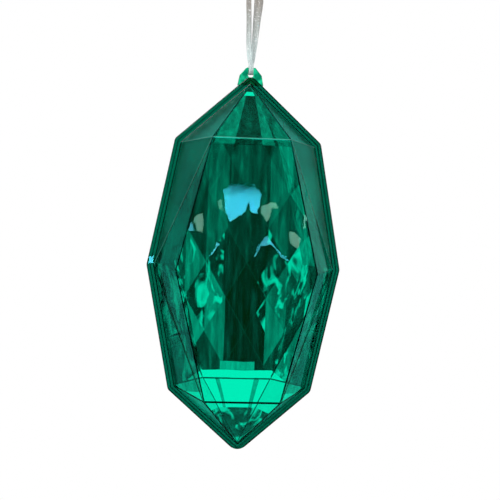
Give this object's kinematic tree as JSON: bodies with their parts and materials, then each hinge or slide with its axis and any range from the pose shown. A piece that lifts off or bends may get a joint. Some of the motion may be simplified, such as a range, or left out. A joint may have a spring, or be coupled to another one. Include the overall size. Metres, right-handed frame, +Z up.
{
  "type": "christmas bauble",
  "caption": "Long faceted jewel of clear green plastic in two hollow half shells, with an eye on top that hangs on a knotted sheer ribbon.",
  "frame": {"origin": "centre of the ribbon's knot, where the loop is hung up", "axes": "+Z up along the jewel's long axis, -Y towards the front table, +X to the right seen from the front"},
  "size_m": [0.1048, 0.054, 0.2676],
  "materials": {
    "green_acrylic": "moulded clear green acrylic, polished facets",
    "light_green_acrylic": "moulded clear green acrylic, thin and so lighter",
    "sheer_ribbon": "sheer silvery organza ribbon"
  },
  "bodies": {
    "knot": {"ribbon_knot": "sheer_ribbon", "ribbon_tail_left": "sheer_ribbon", "ribbon_tail_right": "sheer_ribbon"},
    "ribbon": {"ribbon_front_strand": "sheer_ribbon", "ribbon_back_strand": "sheer_ribbon"},
    "bauble": {"front_shell": "green_acrylic", "back_shell": "green_acrylic", "hanger_eye": "light_green_acrylic"}
  },
  "joints": [
    {"name": "ribbon_swing", "type": "hinge", "parent": "knot", "child": "ribbon", "pos_m": [0, 0, 0], "axis": [0, 1, 0], "range_deg": [-40, 40]},
    {"name": "bauble_swing", "type": "hinge", "parent": "ribbon", "child": "bauble", "pos_m": [0, 0, -0.046], "axis": [1, 0, 0], "range_deg": [-80, 80]}
  ]
}
